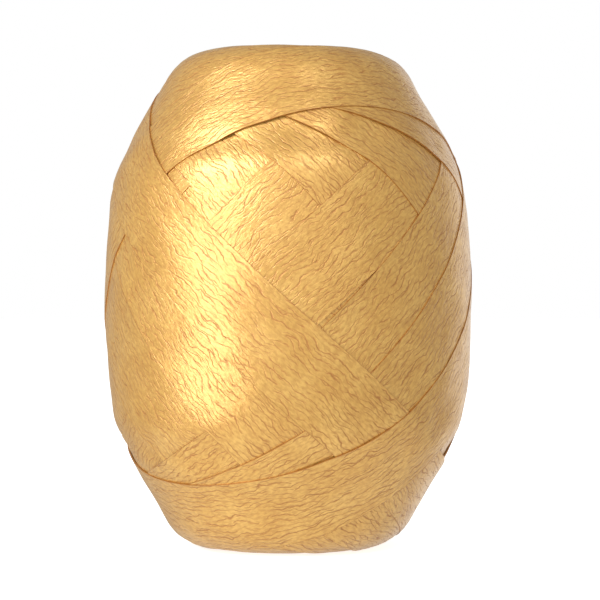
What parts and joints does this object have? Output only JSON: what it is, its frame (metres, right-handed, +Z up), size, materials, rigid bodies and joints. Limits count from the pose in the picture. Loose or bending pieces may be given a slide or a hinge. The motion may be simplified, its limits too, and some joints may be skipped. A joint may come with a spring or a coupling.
{
  "type": "curling ribbon",
  "caption": "Ball of gold curling ribbon, wound crosswise into an upright barrel with coned, rounded ends and a small spindle hole.",
  "frame": {"origin": "middle of the flat rim that the ball stands on", "axes": "+Z up along the winding axis, -Y towards the viewer of the picture"},
  "size_m": [0.0466, 0.0463, 0.0622],
  "materials": {
    "gold_ribbon": "satin"
  },
  "bodies": {
    "root": {"wound_ribbon": "gold_ribbon"}
  },
  "joints": []
}
